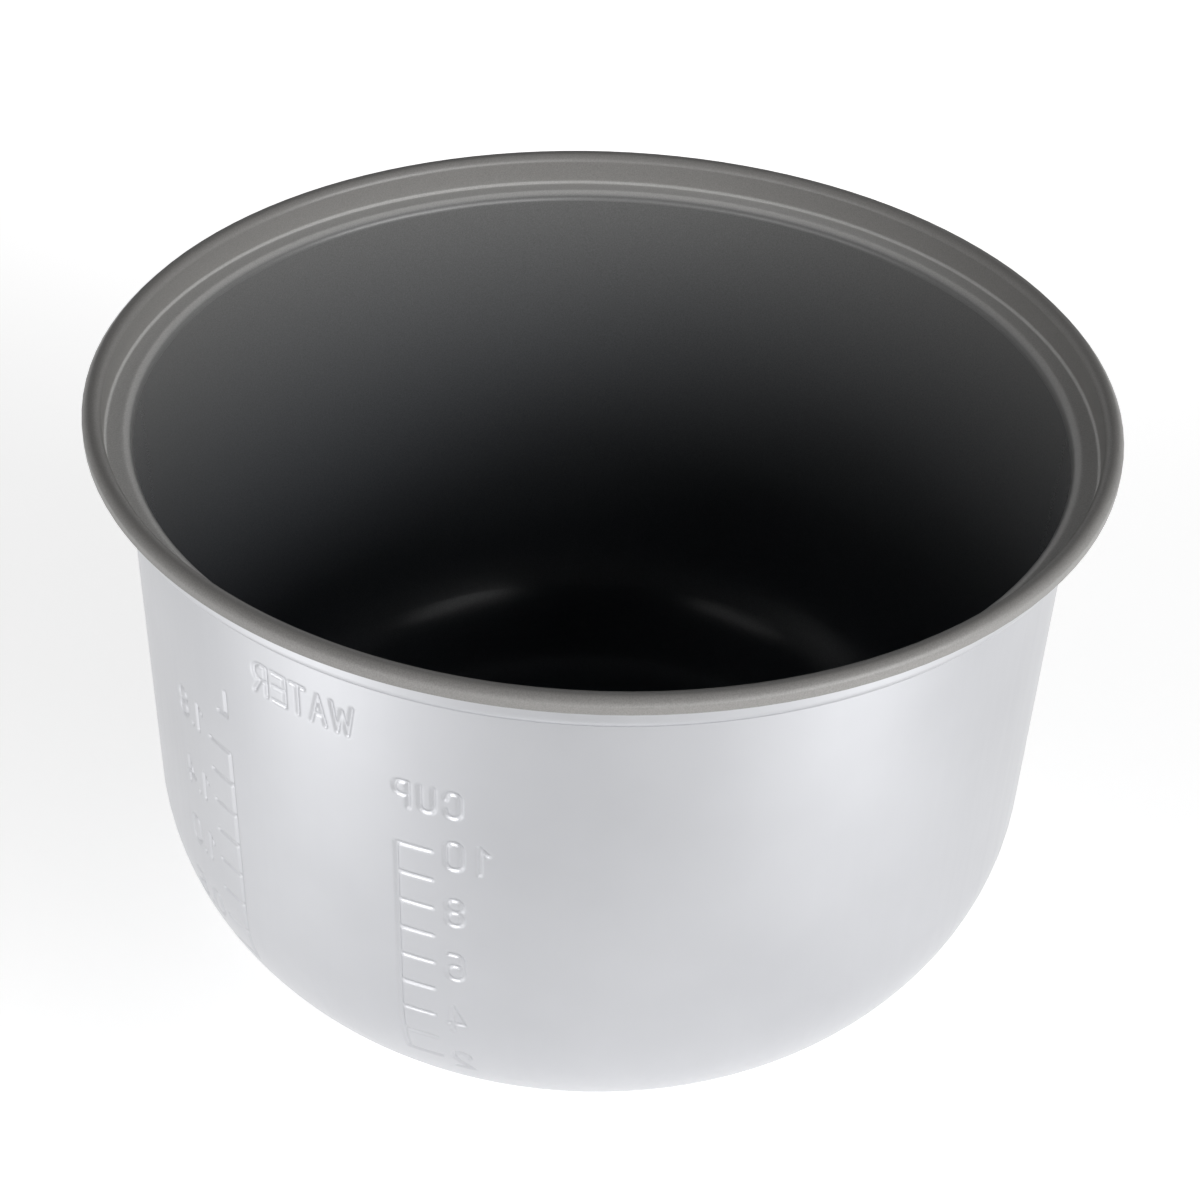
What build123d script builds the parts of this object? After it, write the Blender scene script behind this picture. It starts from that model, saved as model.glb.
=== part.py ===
"""Removable inner pot of a ten-cup (1.8 litre) rice cooker, in millimetres.

The pot is one deep-drawn aluminium sheet. Its section line runs from the axis along the flat base,
up the tapered wall, out along a narrow ledge, up a short lip and over into a rolled edge. Everything
is worked out from that one line: the metal lies from 0 to SHEET inside it, and the non-stick coating
lies on the metal. A cup scale and a litre scale are pressed into the wall from outside, so they read the
right way round from inside the pot. Only their grooves outside are modelled, not the low ridges that
they raise inside.

Origin: centre of the base, on the surface the pot stands on. +Z is up, and -Y is the front.
"""

import os
from math import cos, radians, sin

from build123d import *

# Driving dimensions
RIM_DIAMETER = 245.0
POT_HEIGHT = 152.7
SHEET = 1.5  # aluminium
COATING = 0.3  # non-stick layer, far thicker than the real 0.04 so that it is a solid of its own
THICKNESS = SHEET + COATING

# Wall and base corner, on the outer surface
WALL_TAPER = 0.9  # degrees from upright
SHOULDER_RADIUS = 56.0  # upper arc of the base corner
SHOULDER_ANGLE = 34.6  # degrees from upright where the upper arc meets the lower one
HEEL_RADIUS = 40.0  # lower arc of the base corner

# Rim
LEDGE_DEPTH = 8.4  # top of the lip down to the top of the ledge
LEDGE_WIDTH = 6.6  # inner face of the wall out to the inner face of the lip
BEND_RADIUS = 0.8  # tight side of the two ledge bends
ROLL_RADIUS = 0.4  # bare inside of the rolled edge
ROLL_END = 1.5  # straight end of the rolled edge, pointing down

# Pressed scales
PRESS_DEPTH = 0.5
STROKE = 1.2
CUTTER_START = 2.0  # outside the wall, where the cutters begin
CUTTER_LENGTH = 16.0  # far enough in to reach the lowest marks, on the rounded corner
SCALE_AZIMUTH = -33.8  # degrees round from the front to the middle of the scales, towards -X
SCALE_SPACING = 48.6  # between the two upright lines, along the wall
LOWEST_CUP = 2
FULL_CUPS = 10
CUP_ZERO = 12.0  # height of a level of no cups
CUP_PITCH = 8.5  # height of one cup
LITRES_PER_CUP = 0.18
LOWEST_LITRES = 0.4
LITRE_STEP = 0.2
TOP_LITRE_LIFT = 2.0  # the highest litre label stands this far above its tick
TICK = 8.2
LABEL_GAP = 3.4
CUP_GAP = 3.4  # between the digits of the cup scale
LITRE_GAP = 2.3
DIGIT = (3.7, 7.8)  # width and height of a digit's centre line
UNIT_LETTER = (3.2, 6.9)
UNIT_GAP = 2.7
UNIT_HEIGHT = 108.2  # foot of the unit names
TITLE_LETTER = (3.8, 7.7)
TITLE_HEIGHT = 122.8  # foot of the title
TITLE_GAP = 1.7
TITLE_SHIFT = -0.9  # from the scales' middle towards the cup scale
CORNER_SHARE = 0.48  # radius of a round letter's corners, as a share of the side it has to fit
MIDDLE_SHARE = 0.48  # of a letter's height, the lower bowl of a letter with two

WALL_TOP_RADIUS = RIM_DIAMETER / 2 - 2 * (ROLL_RADIUS + THICKNESS) - LEDGE_WIDTH + THICKNESS


def section_moves():
    """The section line as moves from the axis outwards: (length, 0) or (radius, turn in degrees)."""
    lip_height = LEDGE_DEPTH - (ROLL_RADIUS + THICKNESS) - BEND_RADIUS
    heel_turn = 90 - SHOULDER_ANGLE
    shoulder_turn = SHOULDER_ANGLE - WALL_TAPER
    corner_height = HEEL_RADIUS * (1 - cos(radians(heel_turn))) + SHOULDER_RADIUS * (
        sin(radians(SHOULDER_ANGLE)) - sin(radians(WALL_TAPER))
    )
    corner_width = HEEL_RADIUS * sin(radians(heel_turn)) + SHOULDER_RADIUS * (
        cos(radians(WALL_TAPER)) - cos(radians(SHOULDER_ANGLE))
    )
    bend_height = BEND_RADIUS * (1 - sin(radians(WALL_TAPER)))
    ledge_underside = POT_HEIGHT - LEDGE_DEPTH - THICKNESS
    wall_length = (ledge_underside - bend_height - corner_height) / cos(radians(WALL_TAPER))
    base_radius = WALL_TOP_RADIUS - corner_width - wall_length * sin(radians(WALL_TAPER))
    ledge_length = LEDGE_WIDTH - THICKNESS - 2 * BEND_RADIUS
    return {
        "base": (base_radius, 0),
        "heel": (HEEL_RADIUS, heel_turn),
        "shoulder": (SHOULDER_RADIUS, shoulder_turn),
        "wall": (wall_length, 0),
        "ledge bend": (BEND_RADIUS, WALL_TAPER - 90),
        "ledge": (ledge_length, 0),
        "lip bend": (BEND_RADIUS + THICKNESS, 90),
        "lip": (lip_height, 0),
        "roll": (ROLL_RADIUS, -180),
        "roll end": (ROLL_END, 0),
    }


def section_line(inset, last="roll end"):
    """Edges of the line that lies `inset` inside the outer surface, from the axis to move `last`."""
    point, heading, edges = Vector(0, inset), 0.0, []
    for name, (size, turn) in section_moves().items():
        direction = (cos(radians(heading)), sin(radians(heading)))
        if turn:
            radius = size - inset if turn > 0 else size + inset
            edge = JernArc(point, direction, radius, turn)
        else:
            edge = Line(point, point + Vector(*direction) * size)
        edges.append(edge)
        point = edge @ 1
        heading += turn
        if name == last:
            break
    return edges


def layer(inset, outset, last="roll end"):
    """A solid of revolution between two insets, with 0 at the pot's outer surface."""
    low, high = section_line(inset, last), section_line(outset, last)
    ends = [Line(low[0] @ 0, high[0] @ 0), Line(low[-1] @ 1, high[-1] @ 1)]
    return revolve(Plane.XZ * make_face(Wire(low + high + ends)), Axis.Z)


# Plain stroke lettering on a cell one wide and one high. A stroke that ends where it starts is closed.
ROUND_GLYPHS = {
    "0": [[(0, 0), (1, 0), (1, 1), (0, 1), (0, 0)]],
    "2": [[(0, 0.74), (0, 1), (1, 1), (1, 0.6), (0, 0)], [(0, 0), (1, 0)]],
    "6": [[(0, 0), (1, 0), (1, 0.55), (0, 0.55), (0, 0)], [(0, 0.28), (0, 1), (0.9, 1)]],
    "8": [[(0, 0), (1, 0), (1, 0.52), (0, 0.52), (0, 0)], [(0, 0.52), (1, 0.52), (1, 1), (0, 1), (0, 0.52)]],
    "C": [[(1, 0.72), (1, 1), (0, 1), (0, 0), (1, 0), (1, 0.28)]],
    "P": [[(0, 0), (0, 1)], [(0, 1), (1, 1), (1, 0.46), (0, 0.46)]],
    "R": [[(0, 0), (0, 1)], [(0, 1), (1, 1), (1, 0.46), (0, 0.46)], [(0.5, 0.46), (1, 0)]],
    "U": [[(0, 1), (0, 0), (1, 0), (1, 1)]],
}
SHARP_GLYPHS = {
    ".": [[(0.5, 0), (0.5, 0.03)]],
    "1": [[(0, 0.76), (0.8, 1), (0.8, 0)]],
    "4": [[(0.7, 0), (0.7, 1), (0, 0.3), (1, 0.3)]],
    "A": [[(0, 0), (0.5, 1), (1, 0)], [(0.2, 0.32), (0.8, 0.32)]],
    "E": [[(1, 1), (0, 1), (0, 0), (1, 0)], [(0, 0.52), (0.9, 0.52)]],
    "L": [[(0, 1), (0, 0), (1, 0)]],
    "T": [[(0, 1), (1, 1)], [(0.5, 1), (0.5, 0)]],
    "W": [[(0, 1), (0.25, 0), (0.5, 0.8), (0.75, 0), (1, 1)]],
}
GLYPH_WIDTHS = {".": 0.05, "1": 0.65, "W": 1.4}  # where it isn't the cell's own


def stroke(points, radius=0.0):
    """A face STROKE wide along a line, with round ends, or a ring along a closed line."""
    line = FilletPolyline(*points, radius=radius) if radius and len(points) > 2 else Polyline(*points)
    wire = Wire(line.edges())
    outer = make_face(wire.offset_2d(STROKE / 2))
    return outer - make_face(wire.offset_2d(-STROKE / 2)) if wire.is_closed else outer


def glyph(letter, cell):
    """One letter with its lower left corner at the origin, and its width."""
    width = cell[0] * GLYPH_WIDTHS.get(letter, 1)
    radius = CORNER_SHARE * min(width, MIDDLE_SHARE * cell[1]) if letter in ROUND_GLYPHS else 0
    paths = ROUND_GLYPHS.get(letter) or SHARP_GLYPHS[letter]
    return [stroke([(x * width, y * cell[1]) for x, y in path], radius) for path in paths], width


def text(letters, cell, gap):
    """The letters' faces from the origin to the right, and their whole width."""
    faces, place = [], 0.0
    for letter in letters:
        strokes, width = glyph(letter, cell)
        faces += [Pos(place, 0) * face for face in strokes]
        place += width + gap
    return faces, place - gap


def level(cups):
    """Height of the water level for so many cups."""
    return CUP_ZERO + CUP_PITCH * cups


def scale(levels, labels, side, unit, gap):
    """One scale about its upright line at the origin: ticks and labels to one side, -1 or 1."""
    faces = [stroke([(0, min(levels)), (0, max(levels))])]
    faces += [stroke([(0, height), (side * TICK, height)]) for height in levels]
    for label, height in labels.items():
        letters, width = text(label, DIGIT, gap)
        start = side * (TICK + LABEL_GAP) - (width if side < 0 else 0)
        faces += [Pos(start, height - DIGIT[1] / 2) * face for face in letters]
    letters, width = text(unit, UNIT_LETTER, UNIT_GAP)
    start = -width if side < 0 else 0
    return faces + [Pos(start, UNIT_HEIGHT) * face for face in letters]


def cup_scale():
    """Ticks for every cup, with even numbers beside them."""
    cups = range(LOWEST_CUP, FULL_CUPS + 1)
    labels = {str(count): level(count) for count in cups if count % 2 == 0}
    return scale([level(count) for count in cups], labels, -1, "CUP", CUP_GAP)


def litre_scale():
    """Ticks for every LITRE_STEP, with every other one numbered from the top down."""
    full = FULL_CUPS * LITRES_PER_CUP
    steps = round((full - LOWEST_LITRES) / LITRE_STEP)
    litres = [full - LITRE_STEP * step for step in range(steps + 1)]
    heights = [level(amount / LITRES_PER_CUP) for amount in litres]
    labels = {f"{amount:.1f}": height for amount, height in list(zip(litres, heights))[::2]}
    labels[f"{full:.1f}"] += TOP_LITRE_LIFT
    return scale(heights, labels, 1, "L", LITRE_GAP)


def title():
    """The name over both scales."""
    letters, width = text("WATER", TITLE_LETTER, TITLE_GAP)
    return [Pos(-width / 2, TITLE_HEIGHT) * face for face in letters]


def wall_plane(along):
    """A plane outside the wall that faces the axis, `along` millimetres round the wall from the scales'
    middle. Its X points to the right for someone who looks at it from inside the pot."""
    azimuth = radians(SCALE_AZIMUTH) - along / WALL_TOP_RADIUS
    outwards = Vector(sin(azimuth), -cos(azimuth), 0)
    return Plane(outwards * (WALL_TOP_RADIUS + CUTTER_START), outwards.cross(Vector(0, 0, 1)), -outwards)


def scale_columns():
    """Every mark as a column that runs through the wall."""
    marks = {-SCALE_SPACING / 2: cup_scale(), TITLE_SHIFT: title(), SCALE_SPACING / 2: litre_scale()}
    columns = []
    for along, faces in marks.items():
        columns += [extrude(wall_plane(along) * face, CUTTER_LENGTH) for face in Sketch() + faces]
    return columns


def pot_shell():
    """The drawn sheet with the scales pressed into its outer surface."""
    band = layer(-CUTTER_START, PRESS_DEPTH, "wall")
    return layer(0, SHEET) - [column & band for column in scale_columns()]


def nonstick_coating():
    """The coating over the inside of the bowl, the ledge and the lip, out to the rolled edge's end."""
    return layer(SHEET, THICKNESS)


if __name__ == "__main__":
    os.makedirs("parts", exist_ok=True)
    for name, make in {"pot_shell": pot_shell, "nonstick_coating": nonstick_coating}.items():
        export_step(make(), f"parts/{name}.step")
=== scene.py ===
"""Looks of a rice cooker's inner pot: a satin aluminium bowl with a dark non-stick lining.

The two CAD nodes are replaced by two finer meshes of the same shape, the bare metal and its lining.
Both are swept round the axis from the section line of the CAD model. The pressed scales, which have
square edges in CAD, are here rounded grooves: every point near a stroke moves inwards with the sheet.
Sizes are in millimetres until a mesh is made, and angles go round from the front, which is -Y.
"""

from math import ceil, cos, pi, radians, sin

import bpy
import numpy as np
from mathutils import Matrix, Vector


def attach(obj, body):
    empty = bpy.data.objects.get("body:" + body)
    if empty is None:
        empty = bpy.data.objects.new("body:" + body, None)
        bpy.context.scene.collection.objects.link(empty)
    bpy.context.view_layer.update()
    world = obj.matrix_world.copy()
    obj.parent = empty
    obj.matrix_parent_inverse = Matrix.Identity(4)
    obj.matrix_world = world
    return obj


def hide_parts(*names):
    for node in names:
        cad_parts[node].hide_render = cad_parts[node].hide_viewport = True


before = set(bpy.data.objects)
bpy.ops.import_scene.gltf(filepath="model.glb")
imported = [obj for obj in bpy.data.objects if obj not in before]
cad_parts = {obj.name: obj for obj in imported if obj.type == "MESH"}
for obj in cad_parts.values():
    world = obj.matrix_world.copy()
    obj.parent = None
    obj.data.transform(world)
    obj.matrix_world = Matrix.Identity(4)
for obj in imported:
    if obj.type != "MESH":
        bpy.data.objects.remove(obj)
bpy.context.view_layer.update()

MM = 0.001

# The sheet and its section, as in CAD
RIM_DIAMETER = 245.0
POT_HEIGHT = 152.7
SHEET = 1.5
COATING = 0.3
THICKNESS = SHEET + COATING
WALL_TAPER = 0.9
SHOULDER_RADIUS = 56.0
SHOULDER_ANGLE = 34.6
HEEL_RADIUS = 40.0
LEDGE_DEPTH = 8.4
LEDGE_HEIGHT = POT_HEIGHT - LEDGE_DEPTH
LEDGE_WIDTH = 6.6
BEND_RADIUS = 0.8
ROLL_RADIUS = 0.4
ROLL_END = 1.5
WALL_TOP_RADIUS = RIM_DIAMETER / 2 - 2 * (ROLL_RADIUS + THICKNESS) - LEDGE_WIDTH + THICKNESS

# The pressed scales
PRESS_DEPTH = 0.5
PRESS_HALF_WIDTH = 0.85  # where a rounded groove runs out into the wall
SCALE_AZIMUTH = -33.8
SCALE_SPACING = 48.6
LOWEST_CUP = 2
FULL_CUPS = 10
CUP_ZERO = 12.0
CUP_PITCH = 8.5
LITRES_PER_CUP = 0.18
LOWEST_LITRES = 0.4
LITRE_STEP = 0.2
TOP_LITRE_LIFT = 2.0  # the highest litre label stands this far above its tick
TICK = 8.2
LABEL_GAP = 3.4
CUP_GAP = 3.4  # between the digits of the cup scale
LITRE_GAP = 2.3
DIGIT = (3.7, 7.8)
UNIT_LETTER = (3.2, 6.9)
UNIT_GAP = 2.7
UNIT_HEIGHT = 108.2
TITLE_LETTER = (3.8, 7.7)
TITLE_HEIGHT = 122.8
TITLE_GAP = 1.7
TITLE_SHIFT = -0.9  # from the scales' middle towards the cup scale
CORNER_SHARE = 0.48  # radius of a round letter's corners, as a share of the side it has to fit
MIDDLE_SHARE = 0.48  # of a letter's height, the lower bowl of a letter with two

# Mesh spacing: fine where the scales are, coarse elsewhere
FINE = 0.38
COARSE = 2.6
COARSE_COLUMN = 3.0  # degrees
ARC_STEP = 9.0  # degrees, at most, along an arc of the section
SCALES_LOW, SCALES_HIGH = 23.0, 133.0
SCALES_HALF_ANGLE = 25.5  # degrees either side of SCALE_AZIMUTH
SHARP_ANGLE = 60.0  # degrees between faces, over which an edge is shaded as sharp


# ---------------------------------------------------------------- section

def section_moves():
    """The section line as moves from the axis outwards: (length, 0) or (radius, turn in degrees)."""
    corner_height = HEEL_RADIUS * (1 - sin(radians(SHOULDER_ANGLE))) + SHOULDER_RADIUS * (
        sin(radians(SHOULDER_ANGLE)) - sin(radians(WALL_TAPER))
    )
    corner_width = HEEL_RADIUS * cos(radians(SHOULDER_ANGLE)) + SHOULDER_RADIUS * (
        cos(radians(WALL_TAPER)) - cos(radians(SHOULDER_ANGLE))
    )
    bend_height = BEND_RADIUS * (1 - sin(radians(WALL_TAPER)))
    ledge_underside = LEDGE_HEIGHT - THICKNESS
    wall_length = (ledge_underside - bend_height - corner_height) / cos(radians(WALL_TAPER))
    base_radius = WALL_TOP_RADIUS - corner_width - wall_length * sin(radians(WALL_TAPER))
    return [
        (base_radius, 0),
        (HEEL_RADIUS, 90 - SHOULDER_ANGLE),
        (SHOULDER_RADIUS, SHOULDER_ANGLE - WALL_TAPER),
        (wall_length, 0),
        (BEND_RADIUS, WALL_TAPER - 90),
        (LEDGE_WIDTH - THICKNESS - 2 * BEND_RADIUS, 0),
        (BEND_RADIUS + THICKNESS, 90),
        (LEDGE_DEPTH - (ROLL_RADIUS + THICKNESS) - BEND_RADIUS, 0),
        (ROLL_RADIUS, -180),
        (ROLL_END, 0),
    ]


def section_line(inset, pressed):
    """Points and inward normals, as (radius, height), along the line `inset` inside the outer surface.

    The points lie close together along the scales on a pressed side, and further apart elsewhere.
    """
    place, heading = np.array([0.0, inset]), 0.0
    points, normals = [], []
    for size, turn in section_moves():
        radius = size - inset if turn > 0 else size + inset
        length = radians(abs(turn)) * radius if turn else size
        count = max(ceil(length / FINE), ceil(abs(turn) / ARC_STEP), 2)
        along = np.arange(count + 1) / count
        angle = np.radians(heading + turn * along)
        normal = np.stack([-np.sin(angle), np.cos(angle)], 1)
        if turn:
            side = np.sign(turn) * radius
            path = place + side * normal[0] - side * normal
        else:
            path = place + np.outer(along * size, [cos(angle[0]), sin(angle[0])])
        skip = max(1, min(round(COARSE * count / length), count // 3))
        fine = pressed & (path[:-1, 1] > SCALES_LOW) & (path[:-1, 1] < SCALES_HIGH)
        keep = fine | (np.arange(count) % skip == 0)
        keep[[1, -1]] = True  # a close row at both ends, so that the shading of a bend stays in the bend
        points.append(path[:-1][keep])
        normals.append(normal[:-1][keep])
        place, heading = path[-1], heading + turn
    points.append(place[None])
    normals.append(normal[-1:])
    return np.concatenate(points), np.concatenate(normals)


def columns():
    """Azimuths of the mesh's columns all the way round, closer together at the scales."""
    fine_step = np.degrees(FINE / WALL_TOP_RADIUS)
    fine_count = ceil(2 * SCALES_HALF_ANGLE / fine_step)
    rest = 360 - 2 * SCALES_HALF_ANGLE
    coarse_count = ceil(rest / COARSE_COLUMN)
    fine = np.arange(fine_count) / fine_count * 2 * SCALES_HALF_ANGLE
    coarse = 2 * SCALES_HALF_ANGLE + np.arange(coarse_count) / coarse_count * rest
    return np.radians(SCALE_AZIMUTH - SCALES_HALF_ANGLE + np.concatenate([fine, coarse]))


# ---------------------------------------------------------------- pressed scales

# Plain stroke lettering on a cell one wide and one high
ROUND_GLYPHS = {
    "0": [[(0, 0), (1, 0), (1, 1), (0, 1), (0, 0)]],
    "2": [[(0, 0.74), (0, 1), (1, 1), (1, 0.6), (0, 0)], [(0, 0), (1, 0)]],
    "6": [[(0, 0), (1, 0), (1, 0.55), (0, 0.55), (0, 0)], [(0, 0.28), (0, 1), (0.9, 1)]],
    "8": [[(0, 0), (1, 0), (1, 0.52), (0, 0.52), (0, 0)], [(0, 0.52), (1, 0.52), (1, 1), (0, 1), (0, 0.52)]],
    "C": [[(1, 0.72), (1, 1), (0, 1), (0, 0), (1, 0), (1, 0.28)]],
    "P": [[(0, 0), (0, 1)], [(0, 1), (1, 1), (1, 0.46), (0, 0.46)]],
    "R": [[(0, 0), (0, 1)], [(0, 1), (1, 1), (1, 0.46), (0, 0.46)], [(0.5, 0.46), (1, 0)]],
    "U": [[(0, 1), (0, 0), (1, 0), (1, 1)]],
}
SHARP_GLYPHS = {
    ".": [[(0.5, 0), (0.5, 0.03)]],
    "1": [[(0, 0.76), (0.8, 1), (0.8, 0)]],
    "4": [[(0.7, 0), (0.7, 1), (0, 0.3), (1, 0.3)]],
    "A": [[(0, 0), (0.5, 1), (1, 0)], [(0.2, 0.32), (0.8, 0.32)]],
    "E": [[(1, 1), (0, 1), (0, 0), (1, 0)], [(0, 0.52), (0.9, 0.52)]],
    "L": [[(0, 1), (0, 0), (1, 0)]],
    "T": [[(0, 1), (1, 1)], [(0.5, 1), (0.5, 0)]],
    "W": [[(0, 1), (0.25, 0), (0.5, 0.8), (0.75, 0), (1, 1)]],
}
GLYPH_WIDTHS = {".": 0.05, "1": 0.65, "W": 1.4}


def rounded(path, radius, steps=6):
    """The path with its inner corners as arcs. A closed path is also rounded where it closes."""
    corners = [np.array(point, float) for point in path]
    closed = np.allclose(corners[0], corners[-1])
    if closed:
        corners = corners[:-1]
    points = [] if closed else [corners[0]]
    inner = range(len(corners)) if closed else range(1, len(corners) - 1)
    for i in inner:
        corner, before, after = corners[i], corners[i - 1], corners[(i + 1) % len(corners)]
        back = (before - corner) / np.linalg.norm(before - corner)
        ahead = (after - corner) / np.linalg.norm(after - corner)
        half = np.arccos(np.clip(back @ ahead, -1, 1)) / 2
        centre = corner + (back + ahead) / np.linalg.norm(back + ahead) * radius / np.sin(half)
        start = corner + back * radius / np.tan(half) - centre
        sweep = (pi - 2 * half) * np.sign(back[1] * ahead[0] - back[0] * ahead[1])
        for angle in np.linspace(0, sweep, steps):
            points.append(centre + [start[0] * cos(angle) - start[1] * sin(angle),
                                    start[0] * sin(angle) + start[1] * cos(angle)])
    points.append(points[0] if closed else corners[-1])
    return points


def text(letters, cell, gap):
    """The letters' strokes from the origin to the right, and their whole width."""
    strokes, place = [], 0.0
    for letter in letters:
        width = cell[0] * GLYPH_WIDTHS.get(letter, 1)
        radius = CORNER_SHARE * min(width, MIDDLE_SHARE * cell[1])
        for path in ROUND_GLYPHS.get(letter) or SHARP_GLYPHS[letter]:
            points = [(x * width, y * cell[1]) for x, y in path]
            if letter in ROUND_GLYPHS and len(points) > 2:
                points = rounded(points, radius)
            strokes.append(np.array(points) + [place, 0])
        place += width + gap
    return strokes, place - gap


def level(cups):
    """Height of the water level for so many cups."""
    return CUP_ZERO + CUP_PITCH * cups


def scale(levels, labels, side, unit, gap):
    """One scale about its upright line at the origin: ticks and labels to one side, -1 or 1."""
    strokes = [np.array([(0, min(levels)), (0, max(levels))])]
    strokes += [np.array([(0, height), (side * TICK, height)]) for height in levels]
    for label, height in labels.items():
        letters, width = text(label, DIGIT, gap)
        start = side * (TICK + LABEL_GAP) - (width if side < 0 else 0)
        strokes += [letter + [start, height - DIGIT[1] / 2] for letter in letters]
    letters, width = text(unit, UNIT_LETTER, UNIT_GAP)
    return strokes + [letter + [-width if side < 0 else 0, UNIT_HEIGHT] for letter in letters]


def marks():
    """Strokes of the cup scale, the title and the litre scale, by their place along the wall."""
    cups = range(LOWEST_CUP, FULL_CUPS + 1)
    cup_labels = {str(count): level(count) for count in cups if count % 2 == 0}
    full = FULL_CUPS * LITRES_PER_CUP
    steps = round((full - LOWEST_LITRES) / LITRE_STEP)
    litres = [full - LITRE_STEP * step for step in range(steps + 1)]
    heights = [level(amount / LITRES_PER_CUP) for amount in litres]
    litre_labels = {f"{amount:.1f}": height for amount, height in list(zip(litres, heights))[::2]}
    litre_labels[f"{full:.1f}"] += TOP_LITRE_LIFT
    letters, width = text("WATER", TITLE_LETTER, TITLE_GAP)
    return {
        -SCALE_SPACING / 2: scale([level(count) for count in cups], cup_labels, -1, "CUP", CUP_GAP),
        TITLE_SHIFT: [letter + [-width / 2, TITLE_HEIGHT] for letter in letters],
        SCALE_SPACING / 2: scale(heights, litre_labels, 1, "L", LITRE_GAP),
    }


def distance_to_stroke(points, stroke):
    """Distance from each point to the nearest part of a stroke."""
    nearest = np.full(len(points), np.inf)
    for a, b in zip(stroke[:-1], stroke[1:]):
        run = b - a
        along = np.clip((points - a) @ run / max(run @ run, 1e-9), 0, 1)
        nearest = np.minimum(nearest, np.linalg.norm(points - a - along[:, None] * run, axis=1))
    return nearest


def press(points):
    """How far the sheet is pressed in at each point: the grooves' rounded section."""
    depth = np.zeros(len(points))
    for along, strokes in marks().items():
        azimuth = radians(SCALE_AZIMUTH) - along / WALL_TOP_RADIUS
        outwards = np.array([sin(azimuth), -cos(azimuth)])
        rightwards = np.array([outwards[1], -outwards[0]])  # for someone inside the pot
        facing = points[:, :2] @ outwards > 0
        flat = np.stack([points[:, :2] @ rightwards, points[:, 2]], 1)
        for stroke in strokes:
            low, high = stroke.min(0) - PRESS_HALF_WIDTH, stroke.max(0) + PRESS_HALF_WIDTH
            near = facing & np.all((flat > low) & (flat < high), axis=1)
            if near.any():
                reach = np.minimum(distance_to_stroke(flat[near], stroke) / PRESS_HALF_WIDTH, 1)
                depth[near] = np.maximum(depth[near], PRESS_DEPTH * (1 + np.cos(pi * reach)) / 2)
    return depth


# ---------------------------------------------------------------- meshes

def lathe(name, outer_inset, inner_inset, pressed_outer, pressed_inner):
    """A closed solid of revolution between two insets. The sides named as pressed carry the scales."""
    angles = columns()
    around = np.stack([np.sin(angles), -np.cos(angles)], 1)
    rings = []
    for inset, pressed in ((outer_inset, pressed_outer), (inner_inset, pressed_inner)):
        line, normal = section_line(inset, pressed)
        grid = np.concatenate([line[:, None, :1] * around, np.repeat(line[:, None, 1:], len(angles), 1)], 2)
        if pressed:
            inwards = np.concatenate(
                [normal[:, None, :1] * around, np.repeat(normal[:, None, 1:], len(angles), 1)], 2
            )
            flat = grid.reshape(-1, 3)
            grid = (flat + press(flat)[:, None] * inwards.reshape(-1, 3)).reshape(grid.shape)
        rings.append(grid)
    # from the outer pole out to the rolled edge and back in to the inner pole
    grid = np.concatenate([rings[0][1:], rings[1][:0:-1]])
    poles = [rings[0][0, 0], rings[1][0, 0]]
    rows, count = grid.shape[:2]
    index = np.arange(rows * count).reshape(rows, count)
    following = np.roll(index, -1, 1)
    quads = np.stack([index[:-1], following[:-1], following[1:], index[1:]], 2).reshape(-1, 4)
    first, last = rows * count, rows * count + 1
    faces = quads.tolist()
    faces += [(first, b, a) for a, b in zip(index[0], following[0])]
    faces += [(last, a, b) for a, b in zip(index[-1], following[-1])]
    vertices = np.concatenate([grid.reshape(-1, 3), poles]) * MM
    mesh = bpy.data.meshes.new(name)
    mesh.from_pydata(vertices.tolist(), [], faces)
    mesh.validate()
    mesh.shade_smooth()
    mesh.set_sharp_from_angle(angle=radians(SHARP_ANGLE))
    piece = bpy.data.objects.new(name, mesh)
    bpy.context.collection.objects.link(piece)
    return piece


# ---------------------------------------------------------------- materials

NOISE_RANGE = (0.3, 0.7)  # where nearly all of a noise's values lie

# Noises by how many times they repeat in a metre, and the relief they make in millimetres
GRAIN, GRAIN_RELIEF = 2600, 0.006
STREAKS, STREAK_RELIEF = 420, 0.0015
STREAK_STRETCH = (1, 1, 0.035)
CLOUDS = 22
SPECKLE = 3200
PEEL, PEEL_RELIEF = 900, 0.004
WIPE = 30
MOTTLE = 6

METAL_TINTS = (0.565, 0.571, 0.594), (0.605, 0.611, 0.634)
METAL_ROUGHNESS = (0.30, 0.34)
SPECKLE_SHADES = (0.88, 1.12)
WIPE_SHADES = (0.9, 1.1)
FLOOR_TINTS = (0.49, 0.49, 0.49), (0.51, 0.51, 0.51)
FLOOR_ROUGHNESS = 0.9

# The lining by height in millimetres: its tint, which holds painted shade darkening it towards the bottom of
# the bowl, painted light on the ledge, its bend and the lip, and painted shade in the corner where the ledge
# meets the upstand; and its roughness as a grey
# painted light: the ledge's pale colour stands for the light it catches
LEDGE_PAINTED_LIGHT = (0.52, 0.515, 0.505)
LINING_PAINTED_SHADE_AND_LIGHT = [
    (30.0, (0.105, 0.114, 0.130)),
    (LEDGE_HEIGHT - 1.0, (0.150, 0.150, 0.149)),
    (LEDGE_HEIGHT - 0.1, LEDGE_PAINTED_LIGHT),
    (LEDGE_HEIGHT + 0.1, LEDGE_PAINTED_LIGHT),
    (LEDGE_HEIGHT + 0.5, (0.205, 0.200, 0.193)),
]
LINING_ROUGHNESS = [
    (LEDGE_HEIGHT - 3.0, (0.22, 0.22, 0.22)),
    (LEDGE_HEIGHT - 1.0, (0.40, 0.40, 0.40)),
]


def new_material(name):
    """A node material, its tree and its Principled shader."""
    material = bpy.data.materials.new(name)
    material.use_nodes = True
    tree = material.node_tree
    return material, tree, tree.nodes["Principled BSDF"]


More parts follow.
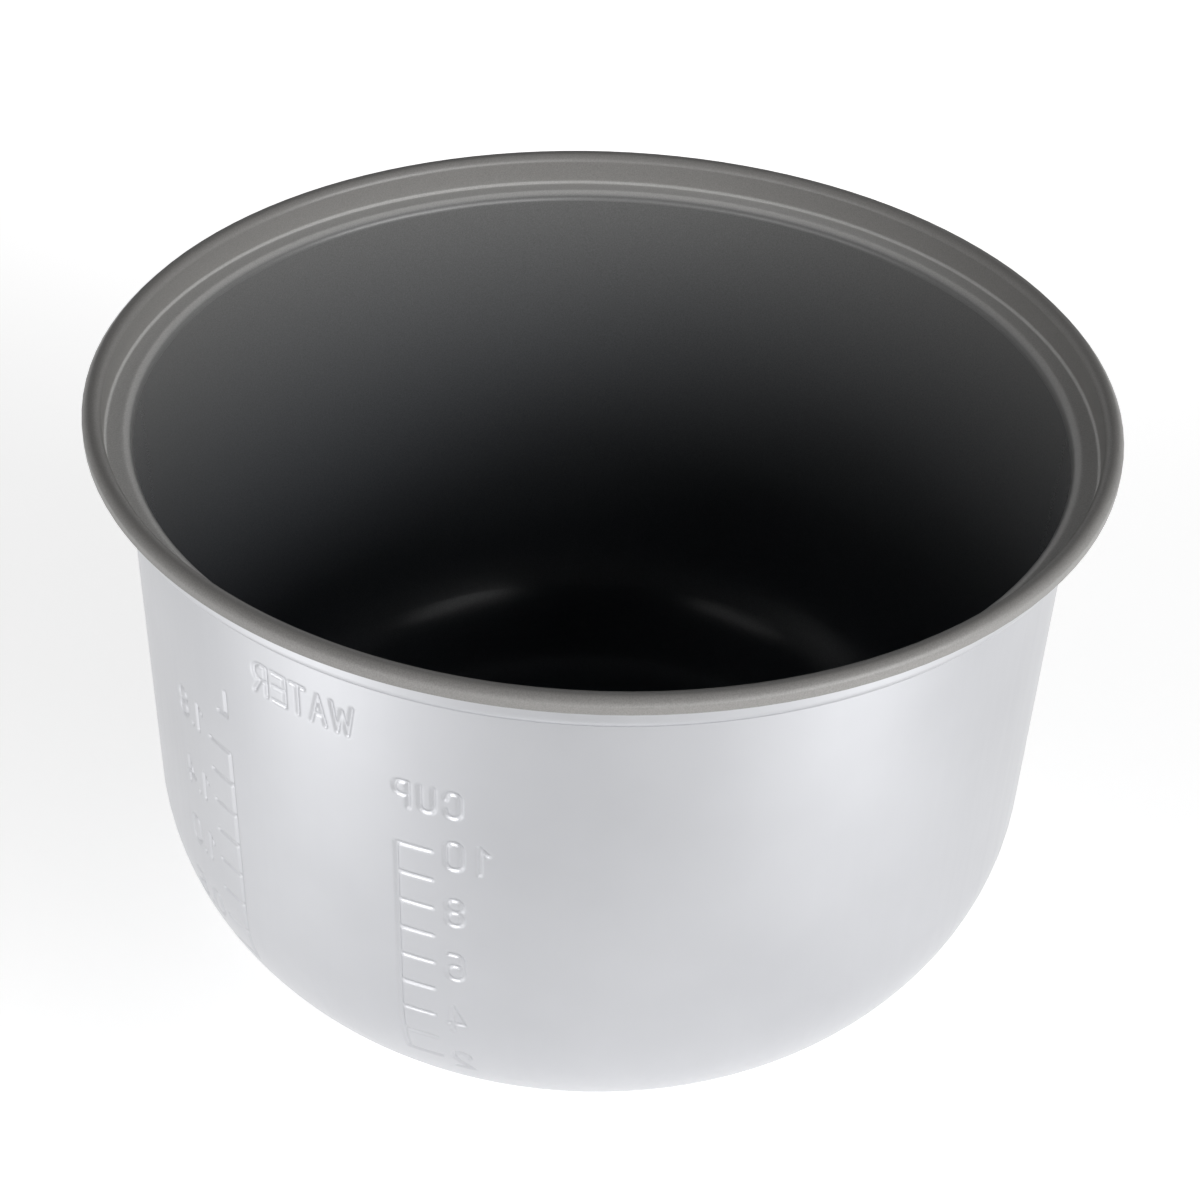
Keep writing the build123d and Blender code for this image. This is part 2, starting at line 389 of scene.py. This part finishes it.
def object_noise(tree, scale, stretch=(1, 1, 1), detail=4.0):
    """Noise in the object's own space. A stretch under 1 draws the pattern out along that axis."""
    coordinates = tree.nodes.new("ShaderNodeTexCoord")
    mapping = tree.nodes.new("ShaderNodeMapping")
    mapping.inputs["Scale"].default_value = stretch
    noise = tree.nodes.new("ShaderNodeTexNoise")
    noise.inputs["Scale"].default_value = scale
    noise.inputs["Detail"].default_value = detail
    tree.links.new(coordinates.outputs["Object"], mapping.inputs["Vector"])
    tree.links.new(mapping.outputs["Vector"], noise.inputs["Vector"])
    return noise.outputs["Fac"]


def spread(tree, value, low, high):
    """A noise's usual range mapped onto low to high."""
    ranged = tree.nodes.new("ShaderNodeMapRange")
    ranged.inputs["From Min"].default_value, ranged.inputs["From Max"].default_value = NOISE_RANGE
    ranged.inputs["To Min"].default_value = low
    ranged.inputs["To Max"].default_value = high
    tree.links.new(value, ranged.inputs["Value"])
    return ranged.outputs["Result"]


def tint(tree, value, dark, light):
    """A colour between two, by a noise's value."""
    ramp = tree.nodes.new("ShaderNodeValToRGB")
    for element, position, colour in zip(ramp.color_ramp.elements, NOISE_RANGE, (dark, light)):
        element.position = position
        element.color = (*colour, 1)
    tree.links.new(value, ramp.inputs["Fac"])
    return ramp.outputs["Color"]


def bump(tree, shader, value, height, below=None):
    """Surface relief of so many millimetres, on top of any other below it."""
    node = tree.nodes.new("ShaderNodeBump")
    node.inputs["Distance"].default_value = height * MM
    tree.links.new(value, node.inputs["Height"])
    if below:
        tree.links.new(below, node.inputs["Normal"])
    tree.links.new(node.outputs["Normal"], shader.inputs["Normal"])
    return node.outputs["Normal"]


def satin_aluminium():
    """Etched aluminium: a fine matt grain, faint upright drawing streaks and soft cloudy patches."""
    material, tree, shader = new_material("satin_aluminium")
    shader.inputs["Metallic"].default_value = 1.0
    grain = object_noise(tree, GRAIN, detail=2.0)
    streaks = object_noise(tree, STREAKS, STREAK_STRETCH, detail=3.0)
    clouds = object_noise(tree, CLOUDS, detail=3.0)
    tree.links.new(tint(tree, clouds, *METAL_TINTS), shader.inputs["Base Color"])
    tree.links.new(spread(tree, streaks, *METAL_ROUGHNESS), shader.inputs["Roughness"])
    below = bump(tree, shader, grain, GRAIN_RELIEF)
    bump(tree, shader, streaks, STREAK_RELIEF, below)
    return material


def by_height(tree, stops):
    """A colour that changes with height on the object, through stops of (millimetres, colour)."""
    coordinates = tree.nodes.new("ShaderNodeTexCoord")
    split = tree.nodes.new("ShaderNodeSeparateXYZ")
    share = tree.nodes.new("ShaderNodeMapRange")
    share.inputs["From Max"].default_value = POT_HEIGHT * MM
    ramp = tree.nodes.new("ShaderNodeValToRGB")
    elements = ramp.color_ramp.elements
    while len(elements) < len(stops):
        elements.new(0.5)
    for element, (height, colour) in zip(elements, stops):
        element.position = height / POT_HEIGHT
        element.color = (*colour, 1)
    tree.links.new(coordinates.outputs["Object"], split.inputs["Vector"])
    tree.links.new(split.outputs["Z"], share.inputs["Value"])
    tree.links.new(share.outputs["Result"], ramp.inputs["Fac"])
    return ramp.outputs["Color"]


def scaled(tree, colour, value, low, high):
    """The colour made darker or lighter by a noise's value, from low to high times itself."""
    node = tree.nodes.new("ShaderNodeVectorMath")
    node.operation = "SCALE"
    tree.links.new(colour, node.inputs[0])
    tree.links.new(spread(tree, value, low, high), node.inputs["Scale"])
    return node.outputs["Vector"]


def nonstick():
    """Dark fluoropolymer: semi-matt with a fine mineral speckle. Its colour by height holds painted shade,
    darker towards the bowl's bottom, and painted light, paler on the ledge, its bend and the rim.
    """
    material, tree, shader = new_material("nonstick")
    speckle = object_noise(tree, SPECKLE, detail=1.0)
    peel = object_noise(tree, PEEL, detail=2.0)
    wipe = object_noise(tree, WIPE, detail=4.0)
    # painted shade towards the bottom and painted light on the ledge and rim, in the lining's colour
    colour = scaled(tree, by_height(tree, LINING_PAINTED_SHADE_AND_LIGHT), speckle, *SPECKLE_SHADES)
    roughness = scaled(tree, by_height(tree, LINING_ROUGHNESS), wipe, *WIPE_SHADES)
    tree.links.new(colour, shader.inputs["Base Color"])
    tree.links.new(roughness, shader.inputs["Roughness"])
    bump(tree, shader, peel, PEEL_RELIEF)
    return material


# ---------------------------------------------------------------- studio

CAMERA_PLACE = (0.0, -490.5, 449.5)
CAMERA_PITCH = 36.49  # degrees below the horizon
CAMERA_YAW = 0.11
CAMERA_ROLL = 2.33
LENS = 72.0
SENSOR = 36.0

WATTS_PER_RADIANCE = 4.0  # of an area light, for each square metre
WORLD_RADIANCE = 0.6
WORLD_TOP = (20, 34)  # degrees up, where the light from all round fades out
PANEL_DISTANCE = 1.6  # metres
# A curved wall of soft panels in front: degrees round and up, width and height in metres, radiance
PANELS = [
    (60, 14, 0.9, 0.70, 5.3),
    (30, 14.5, 0.9, 0.70, 3.4),
    (0, 10.5, 0.9, 0.50, 1.4),
    (-30, 11.5, 0.9, 0.60, 2.0),
    (-60, 9.5, 0.9, 0.42, 2.0),
    (46, 33, 0.75, 0.14, 1.5),
    (-48, 36, 0.65, 0.12, 0.7),
]
FLOOR_HALF = 4.0  # metres from the middle to each edge
FLOOR_GLOW = 0.72
# Painted pools of light and a painted shadow in the floor's glow: soft spots that brighten or dim it, the
# dimmed one in front of the pot being a painted shadow: x, y, radius in x and in y, all metres, and strength
FLOOR_PAINTED_POOLS_AND_SHADOW = [
    (0.0, -0.45, 0.35, 0.40, -0.62),
    (-0.25, -0.2, 0.2, 0.2, 1.0),
    (0.25, -0.2, 0.2, 0.2, 0.7),
    (0.0, 0.6, 0.7, 0.6, 0.7),
]


def add_camera():
    """The camera, in front of the pot and looking down into it."""
    pitch, yaw, roll = radians(CAMERA_PITCH), radians(CAMERA_YAW), radians(CAMERA_ROLL)
    ahead = Vector((sin(yaw) * cos(pitch), cos(yaw) * cos(pitch), -sin(pitch)))
    level_right = Vector((cos(yaw), -sin(yaw), 0))
    level_up = level_right.cross(ahead)
    right = cos(roll) * level_right + sin(roll) * level_up
    up = cos(roll) * level_up - sin(roll) * level_right
    camera = bpy.data.objects.new("camera", bpy.data.cameras.new("camera"))
    camera.data.lens = LENS
    camera.data.sensor_width = SENSOR
    turn = Matrix((right, up, -ahead)).transposed().to_4x4()
    camera.matrix_world = Matrix.Translation(Vector(CAMERA_PLACE) * MM) @ turn
    bpy.context.collection.objects.link(camera)
    bpy.context.scene.camera = camera


def add_panel(azimuth, elevation, width, height, radiance):
    """A lit panel at so many degrees round from the front and up, aimed at the pot's rim."""
    target = Vector((0, 0, POT_HEIGHT * MM))
    direction = Vector((
        sin(radians(azimuth)) * cos(radians(elevation)),
        -cos(radians(azimuth)) * cos(radians(elevation)),
        sin(radians(elevation)),
    ))
    light = bpy.data.lights.new("panel", "AREA")
    light.shape = "RECTANGLE"
    light.size, light.size_y = width, height
    light.energy = radiance * width * height * WATTS_PER_RADIANCE
    lamp = bpy.data.objects.new("panel", light)
    lamp.location = target + direction * PANEL_DISTANCE
    lamp.rotation_euler = (-direction).to_track_quat("-Z", "Y").to_euler()
    bpy.context.collection.objects.link(lamp)


def add_world():
    """Weak even light from all round, up to WORLD_TOP above the horizon, and none from overhead."""
    world = bpy.data.worlds.new("studio")
    world.use_nodes = True
    bpy.context.scene.world = world
    tree = world.node_tree
    coordinates = tree.nodes.new("ShaderNodeTexCoord")
    split = tree.nodes.new("ShaderNodeSeparateXYZ")
    ramp = tree.nodes.new("ShaderNodeValToRGB")
    low, high = (sin(radians(angle)) for angle in WORLD_TOP)
    ramp.color_ramp.elements[0].position = low
    ramp.color_ramp.elements[0].color = (1, 1, 1, 1)
    ramp.color_ramp.elements[1].position = high
    ramp.color_ramp.elements[1].color = (0, 0, 0, 1)
    tree.links.new(coordinates.outputs["Generated"], split.inputs["Vector"])
    tree.links.new(split.outputs["Z"], ramp.inputs["Fac"])
    tree.links.new(ramp.outputs["Color"], tree.nodes["Background"].inputs["Color"])
    tree.nodes["Background"].inputs["Strength"].default_value = WORLD_RADIANCE


def soft_spot(tree, place, radius):
    """1 at a place on the floor, falling to 0 at the radius."""
    coordinates = tree.nodes.new("ShaderNodeTexCoord")
    mapping = tree.nodes.new("ShaderNodeMapping")
    mapping.vector_type = "TEXTURE"
    mapping.inputs["Location"].default_value = (*place, 0)
    mapping.inputs["Scale"].default_value = (*radius, 1)
    gradient = tree.nodes.new("ShaderNodeTexGradient")
    gradient.gradient_type = "QUADRATIC_SPHERE"
    tree.links.new(coordinates.outputs["Object"], mapping.inputs["Vector"])
    tree.links.new(mapping.outputs["Vector"], gradient.inputs["Vector"])
    return gradient.outputs["Fac"]


def add_floor():
    """A wide pale floor at the height the pot stands on, glowing a little so that shadows stay soft, with
    painted pools of light and a painted shadow in its glow.
    """
    mesh = bpy.data.meshes.new("floor")
    corners = [(x * FLOOR_HALF, y * FLOOR_HALF, 0) for x, y in ((-1, -1), (1, -1), (1, 1), (-1, 1))]
    mesh.from_pydata(corners, [], [(0, 1, 2, 3)])
    floor = bpy.data.objects.new("floor", mesh)
    bpy.context.collection.objects.link(floor)
    material, tree, shader = new_material("pale_floor")
    mottle = object_noise(tree, MOTTLE, detail=2.0)
    tree.links.new(tint(tree, mottle, *FLOOR_TINTS), shader.inputs["Base Color"])
    shader.inputs["Roughness"].default_value = FLOOR_ROUGHNESS
    shader.inputs["Emission Color"].default_value = (1, 1, 1, 1)
    glow = None
    # painted pools of light and a painted shadow, added into the floor's glow
    for x, y, radius_x, radius_y, strength in FLOOR_PAINTED_POOLS_AND_SHADOW:
        spot = soft_spot(tree, (x, y), (radius_x, radius_y))
        total = tree.nodes.new("ShaderNodeMath")
        total.operation = "MULTIPLY_ADD"
        total.inputs[1].default_value = strength
        total.inputs[2].default_value = FLOOR_GLOW
        tree.links.new(spot, total.inputs[0])
        if glow:
            tree.links.new(glow, total.inputs[2])
        glow = total.outputs[0]
    tree.links.new(glow, shader.inputs["Emission Strength"])
    floor.data.materials.append(material)


# ---------------------------------------------------------------- the pot

def add_piece(name, node, slot, material, **sides):
    """A visible piece that stands for a CAD node. Its sides are those that lathe takes."""
    piece = lathe(name, **sides)
    piece.data.materials.append(material)
    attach(piece, "root")
    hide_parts(node)


add_camera()
add_world()
for panel in PANELS:
    add_panel(*panel)
add_floor()
bpy.context.scene.view_settings.view_transform = "Standard"

add_piece("metal_bowl", "pot_shell", "aluminium", satin_aluminium(),
          outer_inset=0, inner_inset=SHEET, pressed_outer=True, pressed_inner=False)
add_piece("nonstick_lining", "nonstick_coating", "nonstick", nonstick(),
          outer_inset=SHEET, inner_inset=THICKNESS, pressed_outer=False, pressed_inner=True)
